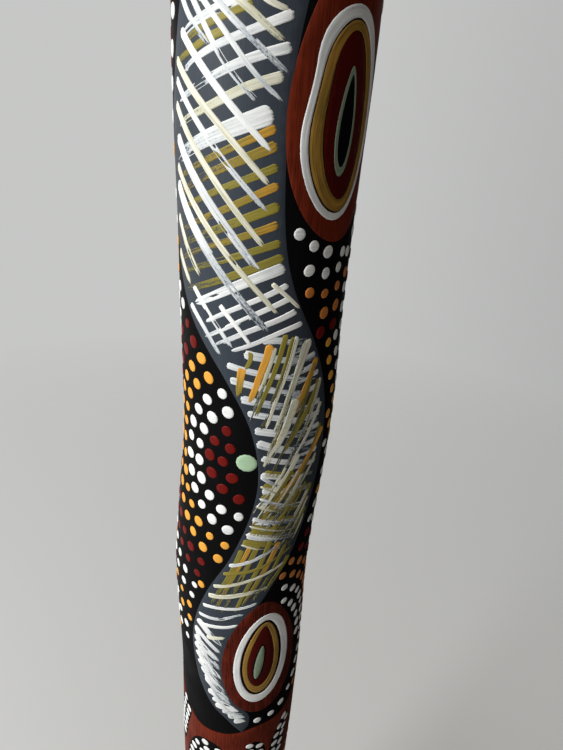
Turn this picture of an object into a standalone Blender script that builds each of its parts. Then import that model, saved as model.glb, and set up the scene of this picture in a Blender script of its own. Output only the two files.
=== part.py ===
"""Didgeridoo: a hollow eucalyptus trunk with a beeswax mouthpiece moulded over its narrow end.

The instrument stands on its bell. +Z runs up the trunk, and the origin is the centre of the bell's face.
Every section is level, so each surface is a stack of rings whose middle follows the trunk's own bends.
"""

import math

import bmesh
import bpy

MM = 0.001

# Driving dimensions, in metres.
TRUNK_LENGTH = 1.208
BELL_RADIUS = 0.046
MIDDLE_RADIUS = 0.0295
MOUTH_RADIUS = 0.0225
BELL_BORE_RADIUS = 0.0365
MOUTH_BORE_RADIUS = 0.0165
RIM_ROUNDING = 0.0025

WAX_RISE = 0.012  # above the trunk's end
WAX_SKIRT = 0.020  # down the outside of the trunk
WAX_LIP = 0.012  # down into the bore
WAX_THICKNESS = 0.0032
WAX_HOLE_RADIUS = 0.0145
WAX_HOLE_FLARE = 0.0011  # wider than the hole at the lip's lower edge
FIT_GAP = 0.0003  # left between the wax and the wood

# The skirt's thickness: share of the way up the skirt, then share of the full thickness.
SKIRT_SWELL = ((0.06, 0.55), (0.22, 0.80), (0.50, 0.95), (0.85, 1.00))
SKIRT_EDGE = 0.0009  # thickness of its lower edge
SKIRT_DROP = 0.0002  # how far the lower edge's outer corner hangs below the inner one
RIM_CROWN = 0.8  # under 1 makes the rim flatter on top than half an ellipse

# The trunk's bends: height, then how far the middle lies to +X and to +Y.
CENTRE_LINE = (
    (0.00, 0.0, 0.0),
    (0.12, -0.3 * MM, -1.0 * MM),
    (0.24, -0.6 * MM, -0.8 * MM),
    (0.34, -0.8 * MM, 0.0),
    (0.43, -1.1 * MM, 0.0),
    (0.50, -3.2 * MM, 0.0),
    (0.57, -0.1 * MM, 0.0),
    (0.62, -1.3 * MM, 0.0),
    (0.72, -2.2 * MM, 0.0),
    (0.82, -1.6 * MM, 1.2 * MM),
    (0.94, 1.2 * MM, 3.0 * MM),
    (1.08, 3.6 * MM, 2.4 * MM),
    (TRUNK_LENGTH, 4.4 * MM, 1.0 * MM),
)

# The outside: height, then its share of the middle radius.
OUTSIDE = (
    (0.00, BELL_RADIUS / MIDDLE_RADIUS),
    (0.04, 1.42),
    (0.10, 1.23),
    (0.18, 1.07),
    (0.27, 0.985),
    (0.38, 1.00),
    (0.50, 1.01),
    (0.60, 0.985),
    (0.70, 1.01),
    (0.80, 0.99),
    (0.92, 0.93),
    (1.06, 0.845),
    (TRUNK_LENGTH, MOUTH_RADIUS / MIDDLE_RADIUS),
)

# The bore: height, then its radius.
BORE = (
    (0.00, BELL_BORE_RADIUS),
    (0.05, 0.0300),
    (0.13, 0.0245),
    (0.26, 0.0200),
    (0.45, 0.0180),
    (0.75, 0.0170),
    (1.00, 0.0160),
    (TRUNK_LENGTH, MOUTH_BORE_RADIUS),
)

# How round the trunk is: the oval's depth as a share of the radius, and how it turns on the way up.
OVAL = 0.008
OVAL_AT_BELL = 0.020
OVAL_FADE = 0.12
OVAL_START = math.radians(35)
OVAL_TWIST = 1.6  # radians per metre

# The bore's unevenness: number of waves round the bore, depth as a share of the radius, twist per metre.
BORE_WAVES = ((3, 0.030, 9), (4, 0.018, -14))
ROUND_BORE_LENGTH = 0.08  # the unevenness fades out over this stretch, up to the mouth

SIDES = 40
OUTSIDE_RINGS = 42
BORE_RINGS = 30
OUTSIDE_CROWDING = 1.15  # over 1 puts more of the rings near the bell
BORE_CROWDING = 1.3
ROUNDING_STEPS = 3
WAX_RIM_STEPS = 10
SHARP_ANGLE = math.radians(40)


def smooth(points, at):
    """The values after each point's first number, read at that place on a smooth curve through the points."""
    last = len(points) - 1
    i = max(0, min(last - 1, sum(p[0] <= at for p in points) - 1))
    before, low, high, after = (points[max(0, min(last, k))] for k in (i - 1, i, i + 1, i + 2))
    step = high[0] - low[0]
    t = min(1.0, max(0.0, (at - low[0]) / step))
    values = []
    for k in range(1, len(low)):
        slope_low = (high[k] - before[k]) / (high[0] - before[0]) * step
        slope_high = (after[k] - low[k]) / (after[0] - low[0]) * step
        rise = high[k] - low[k]
        curved = (slope_low + slope_high - 2 * rise) * t + 3 * rise - 2 * slope_low - slope_high
        values.append(low[k] + t * (slope_low + t * curved))
    return values


def outside_radius(height, angle):
    """The trunk's outside, a little oval, more so towards the bell."""
    share = smooth(OUTSIDE, height)[0]
    oval = OVAL + OVAL_AT_BELL * math.exp(-height / OVAL_FADE)
    turn = OVAL_START + OVAL_TWIST * height
    return MIDDLE_RADIUS * share * (1 + oval * math.cos(2 * (angle - turn)))


def bore_radius(height, angle):
    """The bore, which termites left uneven."""
    uneven = sum(depth * math.cos(waves * angle + twist * height) for waves, depth, twist in BORE_WAVES)
    fade = min(1.0, max(0.0, (TRUNK_LENGTH - height) / ROUND_BORE_LENGTH))
    return smooth(BORE, height)[0] * (1 + uneven * fade)


def ring(bm, height, radius_at, swell=0.0):
    """One level loop of vertices round the trunk's middle at that height."""
    middle_x, middle_y = smooth(CENTRE_LINE, height)
    loop = []
    for i in range(SIDES):
        angle = 2 * math.pi * i / SIDES
        radius = radius_at(angle) + swell
        x = middle_x + radius * math.cos(angle)
        y = middle_y + radius * math.sin(angle)
        loop.append(bm.verts.new((x, y, height)))
    return loop


def skin(bm, loops):
    """Quads between neighbouring loops, and from the last back to the first, which closes the body."""
    for lower, upper in zip(loops, loops[1:] + loops[:1]):
        for i in range(SIDES):
            j = (i + 1) % SIDES
            bm.faces.new((lower[i], lower[j], upper[j], upper[i]))


def finish(bm, name, material):
    """Turns the bmesh into a named object with outward faces, smooth where it is round."""
    bmesh.ops.recalc_face_normals(bm, faces=bm.faces)
    mesh = bpy.data.meshes.new(name)
    bm.to_mesh(mesh)
    bm.free()
    mesh.materials.append(material)
    mesh.shade_smooth()
    mesh.set_sharp_from_angle(angle=SHARP_ANGLE)
    obj = bpy.data.objects.new(name, mesh)
    bpy.context.scene.collection.objects.link(obj)
    return obj


def plain_material(name, colour, roughness):
    material = bpy.data.materials.new(name)
    material.use_nodes = True
    shader = material.node_tree.nodes["Principled BSDF"]
    shader.inputs["Base Color"].default_value = (*colour, 1.0)
    shader.inputs["Roughness"].default_value = roughness
    shader.inputs["Metallic"].default_value = 0.0
    return material


def quarter_round(radius):
    """Offsets along a rounded edge, from the side to the end: how far in, and how far short of the end."""
    for k in range(ROUNDING_STEPS + 1):
        turn = math.pi / 2 * k / ROUNDING_STEPS
        yield radius * (1 - math.cos(turn)), radius * (1 - math.sin(turn))


def spread(low, high, count, crowding):
    """Heights from low to high, closer together near low when crowding is over 1."""
    return [low + (high - low) * (k / (count - 1)) ** crowding for k in range(count)]


def make_trunk():
    """The hollowed trunk, open at both ends: up the outside, over the mouth end, down the bore."""
    bm = bmesh.new()
    rounding = list(quarter_round(RIM_ROUNDING))
    mouth_rounding = [(inward / 2, short / 2) for inward, short in rounding]

    def outside(height, inward=0.0):
        return ring(bm, height, lambda angle: outside_radius(height, angle), -inward)

    def bore(height, outward=0.0):
        return ring(bm, height, lambda angle: bore_radius(height, angle), outward)

    loops = [outside(short, inward) for inward, short in reversed(rounding)]
    top = TRUNK_LENGTH - RIM_ROUNDING / 2
    loops += [outside(height) for height in spread(RIM_ROUNDING, top, OUTSIDE_RINGS, OUTSIDE_CROWDING)[1:-1]]
    loops += [outside(TRUNK_LENGTH - short, inward) for inward, short in mouth_rounding]
    loops += [bore(TRUNK_LENGTH - short, inward) for inward, short in reversed(mouth_rounding)]
    loops += [bore(height) for height in reversed(spread(RIM_ROUNDING, top, BORE_RINGS, BORE_CROWDING)[1:-1])]
    loops += [bore(short, inward) for inward, short in rounding]
    skin(bm, loops)
    return finish(bm, "trunk", plain_material("painted_wood", (0.02, 0.018, 0.017), 0.35))


def make_mouthpiece():
    """The wax, pressed over the trunk's end: a skirt outside, a rounded rim on top and a lip inside."""
    bm = bmesh.new()
    end = TRUNK_LENGTH
    rounded_over = end - RIM_ROUNDING / 2
    skirt_foot = end - WAX_SKIRT
    lip_foot = end - WAX_LIP
    rim_outside = MOUTH_RADIUS + WAX_THICKNESS
    rim_middle = (rim_outside + WAX_HOLE_RADIUS) / 2
    rim_half = (rim_outside - WAX_HOLE_RADIUS) / 2

    def beside_wood(height, gap):
        return ring(bm, height, lambda angle: outside_radius(min(height, end), angle), gap)

    def in_bore(height):
        return ring(bm, height, lambda angle: bore_radius(min(height, end), angle), -FIT_GAP)

    def turned(height, radius):
        return ring(bm, height, lambda angle: radius)

    loops = [beside_wood(skirt_foot, FIT_GAP), beside_wood(skirt_foot - SKIRT_DROP, SKIRT_EDGE)]
    for way_up, thickness in SKIRT_SWELL:
        loops.append(beside_wood(skirt_foot + way_up * WAX_SKIRT, thickness * WAX_THICKNESS))
    for k in range(WAX_RIM_STEPS + 1):
        turn = math.pi * k / WAX_RIM_STEPS
        rise = WAX_RISE * math.sin(turn) ** RIM_CROWN
        loops.append(turned(end + rise, rim_middle + rim_half * math.cos(turn)))
    loops.append(turned((end + lip_foot) / 2, WAX_HOLE_RADIUS + WAX_HOLE_FLARE / 4))
    loops.append(turned(lip_foot, WAX_HOLE_RADIUS + WAX_HOLE_FLARE))
    loops += [in_bore(lip_foot), in_bore(rounded_over), in_bore(end + FIT_GAP)]
    loops += [beside_wood(end + FIT_GAP, FIT_GAP), beside_wood(rounded_over, FIT_GAP)]
    skin(bm, loops)
    return finish(bm, "wax_mouthpiece", plain_material("beeswax", (0.36, 0.19, 0.055), 0.5))


def main():
    for obj in list(bpy.data.objects):
        bpy.data.objects.remove(obj)
    instrument = bpy.data.objects.new("didgeridoo", None)
    bpy.context.scene.collection.objects.link(instrument)
    for piece in (make_trunk(), make_mouthpiece()):
        piece.parent = instrument


main()
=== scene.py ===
"""Looks of the didgeridoo: bare wood, beeswax, and coat upon coat of brushed and dotted paint.

The painting is laid out on the unrolled trunk. A place on it is (turn, height): turn is in degrees round the
trunk, 0 on the side that faces -Y and growing towards +X, and height is in metres above the bell's face.
Lengths along the painting are in metres. Lift is how far something stands off the trunk's own surface.
"""

import math
import random
from itertools import groupby

import bpy
import numpy as np
from mathutils import Matrix, Vector
from mathutils.geometry import delaunay_2d_cdt


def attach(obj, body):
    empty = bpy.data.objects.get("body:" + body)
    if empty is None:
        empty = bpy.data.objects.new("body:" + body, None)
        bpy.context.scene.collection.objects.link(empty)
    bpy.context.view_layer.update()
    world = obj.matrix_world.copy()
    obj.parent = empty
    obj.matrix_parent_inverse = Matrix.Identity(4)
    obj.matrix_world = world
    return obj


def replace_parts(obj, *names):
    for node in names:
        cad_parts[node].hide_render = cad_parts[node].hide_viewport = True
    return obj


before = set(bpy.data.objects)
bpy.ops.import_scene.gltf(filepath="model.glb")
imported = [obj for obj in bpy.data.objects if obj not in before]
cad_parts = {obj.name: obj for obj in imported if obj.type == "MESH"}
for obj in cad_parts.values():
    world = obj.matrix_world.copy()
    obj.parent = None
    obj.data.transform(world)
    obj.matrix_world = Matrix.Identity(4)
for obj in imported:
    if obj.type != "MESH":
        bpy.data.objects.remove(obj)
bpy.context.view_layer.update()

MM = 0.001

# ---- The trunk's shape, as the CAD has it ----

TRUNK_LENGTH = 1.208
BELL_RADIUS = 0.046
MIDDLE_RADIUS = 0.0295
MOUTH_RADIUS = 0.0225
BELL_BORE_RADIUS = 0.0365
MOUTH_BORE_RADIUS = 0.0165
RIM_ROUNDING = 0.0025

WAX_RISE = 0.012
WAX_SKIRT = 0.020
WAX_LIP = 0.012
WAX_THICKNESS = 0.0032
WAX_HOLE_RADIUS = 0.0145

# Height, then how far the trunk's middle lies to +X and to +Y, in mm.
CENTRE_LINE = (
    (0.00, 0.0, 0.0), (0.12, -0.3, -1.0), (0.24, -0.6, -0.8), (0.34, -0.8, 0.0), (0.43, -1.1, 0.0),
    (0.50, -3.2, 0.0), (0.57, -0.1, 0.0), (0.62, -1.3, 0.0), (0.72, -2.2, 0.0), (0.82, -1.6, 1.2),
    (0.94, 1.2, 3.0), (1.08, 3.6, 2.4), (TRUNK_LENGTH, 4.4, 1.0),
)
# Height, then the outside as a share of the middle radius.
OUTSIDE = (
    (0.00, BELL_RADIUS / MIDDLE_RADIUS), (0.04, 1.42), (0.10, 1.23), (0.18, 1.07), (0.27, 0.985),
    (0.38, 1.00), (0.50, 1.01), (0.60, 0.985), (0.70, 1.01), (0.80, 0.99), (0.92, 0.93), (1.06, 0.845),
    (TRUNK_LENGTH, MOUTH_RADIUS / MIDDLE_RADIUS),
)
# Height, then the bore's radius.
BORE = (
    (0.00, BELL_BORE_RADIUS), (0.05, 0.0300), (0.13, 0.0245), (0.26, 0.0200), (0.45, 0.0180), (0.75, 0.0170),
    (1.00, 0.0160), (TRUNK_LENGTH, MOUTH_BORE_RADIUS),
)
# How round the trunk is: the oval's depth as a share of the radius, and how it turns on the way up.
OVAL, OVAL_AT_BELL, OVAL_FADE = 0.008, 0.020, 0.12
OVAL_START, OVAL_TWIST = math.radians(35), 1.6
# The bore's unevenness: waves round it, depth as a share of its radius, twist per metre. It fades upwards.
BORE_WAVES = ((3, 0.030, 9), (4, 0.018, -14))
ROUND_BORE_LENGTH = 0.08


def smooth(points, at):
    """The values after each point's first number, read at that place on a smooth curve through the points."""
    last = len(points) - 1
    i = max(0, min(last - 1, sum(p[0] <= at for p in points) - 1))
    before, low, high, after = (points[max(0, min(last, k))] for k in (i - 1, i, i + 1, i + 2))
    step = high[0] - low[0]
    t = min(1.0, max(0.0, (at - low[0]) / step))
    values = []
    for k in range(1, len(low)):
        slope_low = (high[k] - before[k]) / (high[0] - before[0]) * step
        slope_high = (after[k] - low[k]) / (after[0] - low[0]) * step
        rise = high[k] - low[k]
        curved = (slope_low + slope_high - 2 * rise) * t + 3 * rise - 2 * slope_low - slope_high
        values.append(low[k] + t * (slope_low + t * curved))
    return values


# The three curves, read off at every millimetre of height.
LEVELS = np.linspace(0.0, TRUNK_LENGTH, 1209)
MIDDLE_X, MIDDLE_Y = np.array([smooth(CENTRE_LINE, h) for h in LEVELS]).T * MM
SHARE = np.array([smooth(OUTSIDE, h)[0] for h in LEVELS])
HOLLOW = np.array([smooth(BORE, h)[0] for h in LEVELS])


def relief(turn, height):
    """Long shallow flutes and swellings that the scraped surface of a real branch keeps."""
    a = np.radians(turn)
    flutes = 0.10 * np.sin(5 * a + 9 * height) + 0.07 * np.sin(8 * a - 17 * height + 1.0)
    swellings = 0.09 * np.sin(61 * height + 2 * a) + 0.05 * np.sin(143 * height - 3 * a + 2.0)
    return (flutes + swellings) * MM


def from_x(turn):
    """The same direction as an angle from +X, in radians."""
    return np.radians(np.asarray(turn) - 90)


def outside_radius(turn, height):
    height = np.asarray(height)
    oval = OVAL + OVAL_AT_BELL * np.exp(-height / OVAL_FADE)
    lean = OVAL_START + OVAL_TWIST * height
    return MIDDLE_RADIUS * np.interp(height, LEVELS, SHARE) * (1 + oval * np.cos(2 * (from_x(turn) - lean)))


def bore_radius(turn, height):
    uneven = sum(depth * np.cos(waves * from_x(turn) + twist * height) for waves, depth, twist in BORE_WAVES)
    fade = np.clip((TRUNK_LENGTH - height) / ROUND_BORE_LENGTH, 0, 1)
    return np.interp(height, LEVELS, HOLLOW) * (1 + uneven * fade)


def spot(turn, height, radius):
    """Points in space at that radius from the trunk's middle."""
    angle = from_x(turn)
    x = np.interp(height, LEVELS, MIDDLE_X) + radius * np.cos(angle)
    y = np.interp(height, LEVELS, MIDDLE_Y) + radius * np.sin(angle)
    return np.stack([x, y, np.broadcast_to(height, x.shape)], -1)


def on_trunk(turn, height, lift):
    return spot(turn, height, outside_radius(turn, height) + relief(turn, height) + lift)


def degree(height):
    """The length of one degree round the trunk at that height."""
    return MIDDLE_RADIUS * np.interp(height, LEVELS, SHARE) * math.pi / 180


# ---- Materials ----

class Nodes:
    """Short names for adding nodes to a material or a world and wiring them."""

    def __init__(self, owner, shader="Principled BSDF"):
        owner.use_nodes = True
        self.owner, self.tree = owner, owner.node_tree
        self.shader = self.tree.nodes[shader]

    def add(self, kind, inputs=None, **settings):
        node = self.tree.nodes.new(kind)
        for key, value in settings.items():
            setattr(node, key, value)
        for key, value in (inputs or {}).items():
            self.wire(value, node.inputs[key])
        return node

    def wire(self, value, socket):
        if isinstance(value, bpy.types.NodeSocket):
            self.tree.links.new(value, socket)
        else:
            socket.default_value = value

    def scaled(self, vector, scale):
        node = self.add("ShaderNodeVectorMath", {0: vector, 1: scale}, operation="MULTIPLY")
        return node.outputs[0]

    def noise(self, vector, scale, detail=3.0, rough=0.55, twist=0.0):
        inputs = {"Vector": vector, "Scale": scale, "Detail": detail, "Roughness": rough, "Distortion": twist}
        return self.add("ShaderNodeTexNoise", inputs).outputs["Fac"]

    def span(self, value, low, high, to_low=0.0, to_high=1.0):
        inputs = {"Value": value, "From Min": low, "From Max": high, "To Min": to_low, "To Max": to_high}
        return self.add("ShaderNodeMapRange", inputs).outputs["Result"]

    def math(self, operation, a, b=0.0):
        return self.add("ShaderNodeMath", {0: a, 1: b}, operation=operation).outputs[0]

    def blend(self, share, a, b):
        node = self.add("ShaderNodeMix", data_type="RGBA")
        self.wire(share, node.inputs["Factor"])
        self.wire(a if isinstance(a, bpy.types.NodeSocket) else (*a, 1.0), node.inputs[6])
        self.wire(b if isinstance(b, bpy.types.NodeSocket) else (*b, 1.0), node.inputs[7])
        return node.outputs[2]

    def bump(self, height, strength, distance, under=None):
        inputs = {"Height": height, "Strength": strength, "Distance": distance}
        if under is not None:
            inputs["Normal"] = under
        return self.add("ShaderNodeBump", inputs).outputs["Normal"]

    def set(self, **inputs):
        for key, value in inputs.items():
            self.wire(value, self.shader.inputs[key.replace("_", " ")])

    def show(self, node):
        """Makes that shader the one that is seen."""
        output = next(node for node in self.tree.nodes if node.type.startswith("OUTPUT"))
        self.wire(node.outputs[0], output.inputs["Surface"])


SLATE = (0.038, 0.047, 0.060)
BLACK = (0.0036, 0.0034, 0.0037)


def paint_material(name, colour, thin, ground, roughness=0.42, streak=0.55, shine=0.20, fade=1.3):
    """Brushed acrylic under a satin varnish.

    colour is the full coat, and thin is where the brush left less of it, more so along a stroke by fade.
    ground shows through where a dry brush skipped. The attribute "brush" holds millimetres along the stroke,
    millimetres across it, and how dry the brush was.
    """
    n = Nodes(bpy.data.materials.new(name))
    brush = n.add("ShaderNodeAttribute", attribute_name="brush", attribute_type="GEOMETRY")
    parts = n.add("ShaderNodeSeparateXYZ", {0: brush.outputs["Vector"]})
    flat = n.add("ShaderNodeCombineXYZ", {0: parts.outputs[0], 1: parts.outputs[1], 2: 0.0}).outputs[0]
    place = n.add("ShaderNodeTexCoord").outputs["Object"]
    bristles = n.noise(n.scaled(flat, (0.06, 1.5, 1.0)), 1.0, 4.0, 0.6)
    weave = n.noise(n.scaled(flat, (0.9, 1.9, 1.0)), 1.0, 3.0, 0.65)
    clouds = n.noise(place, 90.0, 3.0, 0.5)
    grain = n.noise(n.scaled(place, (900.0, 900.0, 260.0)), 1.0, 2.0, 0.6)
    thinned = n.math("MULTIPLY", n.span(bristles, 0.38, 0.68), streak)
    thinned = n.math("ADD", thinned, n.span(clouds, 0.35, 0.75, -0.15, 0.25))
    thinned = n.math("ADD", thinned, n.math("MULTIPLY", n.math("SUBTRACT", parts.outputs[2], 0.15), fade))
    coat = n.blend(n.math("MINIMUM", n.math("MAXIMUM", thinned, 0.0), 1.0), colour, thin)
    skipping = n.math("MULTIPLY", n.math("ADD", weave, n.math("MULTIPLY", bristles, 0.8)), 0.5556)
    edge = n.span(parts.outputs[2], 0.0, 1.0, 0.72, 0.40)
    skipped = n.span(n.math("SUBTRACT", skipping, edge), -0.05, 0.09)
    n.set(Base_Color=n.blend(skipped, coat, ground))
    n.set(Roughness=n.span(clouds, 0.3, 0.7, roughness - 0.07, roughness + 0.09))
    ridges = n.bump(bristles, 0.35, 0.00012)
    n.set(Normal=n.bump(grain, 0.22, 0.00006, ridges))
    n.set(Specular_IOR_Level=shine)
    return n.owner


def wood_material():
    """Eucalyptus, bare at the rims and inside the bore, where the termites worked and the smoke settled."""
    n = Nodes(bpy.data.materials.new("bare_eucalyptus"))
    place = n.add("ShaderNodeTexCoord").outputs["Object"]
    parts = n.add("ShaderNodeSeparateXYZ", {0: place})
    across = n.math("SQRT", n.math("ADD", n.math("POWER", parts.outputs[0], 2.0),
                                   n.math("POWER", parts.outputs[1], 2.0)))
    wander = n.noise(place, 38.0, 3.0, 0.6)
    rings = n.math("SINE", n.math("ADD", n.math("MULTIPLY", across, 5200.0), n.math("MULTIPLY", wander, 9.0)))
    fibres = n.noise(n.scaled(place, (520.0, 520.0, 16.0)), 1.0, 5.0, 0.65)
    blotches = n.noise(place, 26.0, 4.0, 0.6)
    pale, tan, dark = (0.52, 0.33, 0.17), (0.33, 0.175, 0.075), (0.085, 0.040, 0.017)
    base = n.blend(n.span(rings, -1.0, 1.0, 0.0, 0.75), pale, tan)
    base = n.blend(n.span(fibres, 0.42, 0.72), base, tan)
    base = n.blend(n.span(blotches, 0.48, 0.75), base, dark)
    depth = n.math("SUBTRACT", 0.0385, across)
    inside = n.blend(n.span(fibres, 0.35, 0.7), (0.16, 0.080, 0.034), dark)
    n.set(Base_Color=n.blend(n.span(depth, 0.0, 0.0035), base, inside))
    n.set(Roughness=n.span(blotches, 0.3, 0.7, 0.62, 0.85))
    pores = n.noise(n.scaled(place, (900.0, 900.0, 60.0)), 1.0, 3.0, 0.7)
    n.set(Normal=n.bump(pores, 0.5, 0.0004, n.bump(fibres, 0.6, 0.0008)))
    n.set(Specular_IOR_Level=0.3)
    return n.owner


def wax_material():
    """Native beeswax: warm brown, a little see-through, with a bloom and flecks in it."""
    n = Nodes(bpy.data.materials.new("hand_worked_beeswax"))
    place = n.add("ShaderNodeTexCoord").outputs["Object"]
    clouds = n.noise(place, 55.0, 4.0, 0.6, 0.4)
    flecks = n.noise(place, 700.0, 2.0, 0.6)
    bloom = n.noise(place, 140.0, 4.0, 0.7)
    amber, umber, pale = (0.40, 0.19, 0.045), (0.155, 0.062, 0.016), (0.56, 0.37, 0.16)
    base = n.blend(n.span(clouds, 0.35, 0.68), amber, umber)
    base = n.blend(n.span(bloom, 0.56, 0.78, 0.0, 0.45), base, pale)
    n.set(Base_Color=n.blend(n.span(flecks, 0.66, 0.74, 0.0, 0.7), base, (0.05, 0.022, 0.008)))
    n.set(Roughness=n.span(bloom, 0.3, 0.75, 0.34, 0.62))
    n.set(Subsurface_Weight=0.18, Subsurface_Scale=0.004, Specular_IOR_Level=0.4)
    n.shader.inputs["Subsurface Radius"].default_value = (1.0, 0.5, 0.2)
    n.set(Normal=n.bump(flecks, 0.12, 0.0002, n.bump(clouds, 0.5, 0.0010)))
    return n.owner


# Each paint's full coat, its thin coat and what shows through, then how it differs from the other paints.
PAINTS = {
    "black": (BLACK, (0.0060, 0.0056, 0.0060), BLACK, dict(roughness=0.45, shine=0.02)),
    "slate": (SLATE, (0.026, 0.034, 0.046), (0.012, 0.012, 0.015), dict(roughness=0.46)),
    "red_brown": ((0.165, 0.022, 0.008), (0.060, 0.008, 0.004), BLACK, dict(streak=0.9, shine=0.04)),
    "dark_red": ((0.140, 0.0060, 0.0040), (0.070, 0.003, 0.002), BLACK, dict(roughness=0.36, shine=0.08)),
    "white": ((0.84, 0.84, 0.81), (0.40, 0.44, 0.47), SLATE, dict(roughness=0.45, streak=0.60)),
    "cream": ((0.79, 0.77, 0.64), (0.42, 0.41, 0.27), SLATE, dict(roughness=0.45, streak=0.75)),
    "ochre": ((0.76, 0.35, 0.045), (0.25, 0.185, 0.030), SLATE, dict(fade=4.0)),
    "old_gold": ((0.40, 0.21, 0.035), (0.12, 0.080, 0.016), BLACK, dict(streak=0.9)),
    "burnt_orange": ((0.56, 0.19, 0.038), (0.32, 0.11, 0.025), BLACK, {}),
    "maroon": ((0.075, 0.0045, 0.0030), (0.030, 0.002, 0.0015), BLACK, dict(roughness=0.36, shine=0.08)),
    "grey_green": ((0.25, 0.32, 0.22), (0.15, 0.20, 0.14), BLACK, dict(streak=0.9)),
    "olive": ((0.29, 0.235, 0.035), (0.165, 0.145, 0.030), SLATE, dict(roughness=0.44)),
    "pale_green": ((0.41, 0.58, 0.37), (0.30, 0.45, 0.31), BLACK, {}),
}
MATERIALS = {
    name: paint_material("brushed_" + name, *coats, **look) for name, (*coats, look) in PAINTS.items()
}


# ---- Paint as geometry: closed skins, a fraction of a millimetre thick ----

FOOT = -0.06 * MM  # every coat's edge dips this far below the trunk's surface
COAT = {"ground": 0.02 * MM, "field": 0.07 * MM, "hatch": 0.10 * MM, "ring": 0.16 * MM}
FIELD_BEVEL = 0.35 * MM
FIELD_MARGIN = 0.9 * MM  # kept free of inner points, inside the bevel

DOT_SIDES = 14
DOT_DOME = 0.20 * MM
DOT_DRY = 0.05
DOT_PROFILE = ((1.0, None), (0.90, 0.52), (0.66, 0.86), (0.33, 0.97))  # shares of the radius and the dome

PATH_STEP = 0.5 * MM
STROKE_STEP = 1.5 * MM
STROKE_BODY = 0.07 * MM  # how high a stroke's ridges stand
STREAK_WIDTH = 0.55 * MM
RING_DRY = 0.15

BAND_SIDES = 144
BAND_STEP = 5 * MM
BAND_BEVEL = 0.4 * MM
BAND_DRY = 0.20
MM_PER_DEGREE = 0.515  # round the trunk's middle


def add_piece(name, points, faces, material):
    """A smooth mesh that rides on the part."""
    mesh = bpy.data.meshes.new(name)
    mesh.from_pydata(points.tolist(), [], faces)
    mesh.shade_smooth()
    mesh.materials.append(material)
    piece = bpy.data.objects.new(name, mesh)
    bpy.context.scene.collection.objects.link(piece)
    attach(piece, "root")
    return piece


class Paint:
    """Collects the skins of one piece: where their points are on the painting, and how the brush ran."""

    def __init__(self, name, paint):
        self.name, self.paint = name, paint
        self.places, self.brush, self.faces = [], [], []
        self.count = 0

    def add(self, places, brush, faces):
        """places: turn, height, lift. brush: along, across, dry. faces: rows of numbers of these points."""
        self.places.append(np.asarray(places, float))
        self.brush.append(np.asarray(brush, float))
        self.faces.append(np.asarray(faces, int) + self.count)
        self.count += len(places)

    def build(self):
        places, brush = np.concatenate(self.places), np.concatenate(self.brush)
        faces = [face for group in self.faces for face in group.tolist()]
        piece = add_piece(self.name, on_trunk(*places.T), faces, MATERIALS[self.paint])
        attribute = piece.data.attributes.new("brush", "FLOAT_VECTOR", "POINT")
        attribute.data.foreach_set("vector", brush.astype(np.float32).ravel())


PIECES = {}


def piece_for(kind, paint, side=None):
    name = "_".join(filter(None, (kind, paint, side)))
    if name not in PIECES:
        PIECES[name] = Paint(name, paint)
    return PIECES[name]


def add_skin(paint, places, brush, faces):
    """Adds a sheet and its back. Points at the foot's level are the sheet's edge, which the back shares."""
    inner = np.flatnonzero(places[:, 2] != FOOT)
    back_number = np.arange(len(places))
    back_number[inner] = len(places) + np.arange(len(inner))
    back = places[inner].copy()
    back[:, 2] = FOOT
    start = paint.count
    paint.add(np.concatenate([places, back]), np.concatenate([brush, brush[inner]]), faces)
    paint.faces.append(back_number[faces[:, ::-1]] + start)


def band_quads(rows, columns, closed_rows=False, closed_columns=False):
    """Faces of a grid of points, numbered row by row. What is closed joins its last line to its first."""
    cells = (rows - (not closed_rows), columns - (not closed_columns))
    i, j = (numbers.ravel() for numbers in np.indices(cells))
    below, beside = (i + 1) % rows * columns, (j + 1) % columns
    return np.stack([i * columns + j, i * columns + beside, below + beside, below + j], -1)


def field(kind, colour, outline, lift, side=None, grid=2.4 * MM, dry=0.12):
    """A brushed area inside a closed outline of (turn, height) places."""
    k = float(degree(outline[:, 1].mean()))
    flat = outline * (k, 1.0)
    following = np.roll(flat, -1, 0)
    if np.sum(flat[:, 0] * following[:, 1] - following[:, 0] * flat[:, 1]) < 0:
        flat = flat[::-1]
    inset = flat + FIELD_BEVEL * left_of(unit(np.roll(flat, -1, 0) - np.roll(flat, 1, 0)))
    count = len(flat)
    low, high = flat.min(0), flat.max(0)
    x, y = np.meshgrid(*(np.arange(low[axis] + grid / 2, high[axis], grid) for axis in (0, 1)))
    x = x + (np.indices(x.shape)[0] % 2) * grid / 2
    inner = np.stack([x.ravel(), y.ravel()], -1)
    inner = inner[well_inside(inner, inset, FIELD_MARGIN)]
    points = [Vector(p) for p in np.concatenate([flat, inset, inner])]
    edges = [(start + i, start + (i + 1) % count) for start in (0, count) for i in range(count)]
    corners, _, triangles, sources, _, _ = delaunay_2d_cdt(points, edges, [list(range(count))], 1, 1e-7)
    flat = np.array([tuple(p) for p in corners])
    on_edge = np.array([any(s < count for s in source) for source in sources])
    triangles = np.array([face for face in triangles if len(face) == 3])
    a, b, c = (flat[triangles[:, j]] for j in range(3))
    clockwise = (b[:, 0] - a[:, 0]) * (c[:, 1] - a[:, 1]) < (b[:, 1] - a[:, 1]) * (c[:, 0] - a[:, 0])
    triangles[clockwise] = triangles[clockwise][:, ::-1]
    places = np.stack([flat[:, 0] / k, flat[:, 1], np.where(on_edge, FOOT, lift)], -1)
    brush = np.stack([flat[:, 1] / MM, flat[:, 0] / MM, np.full(len(flat), dry)], -1)
    add_skin(piece_for(kind, colour, side), places, brush, triangles)


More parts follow.
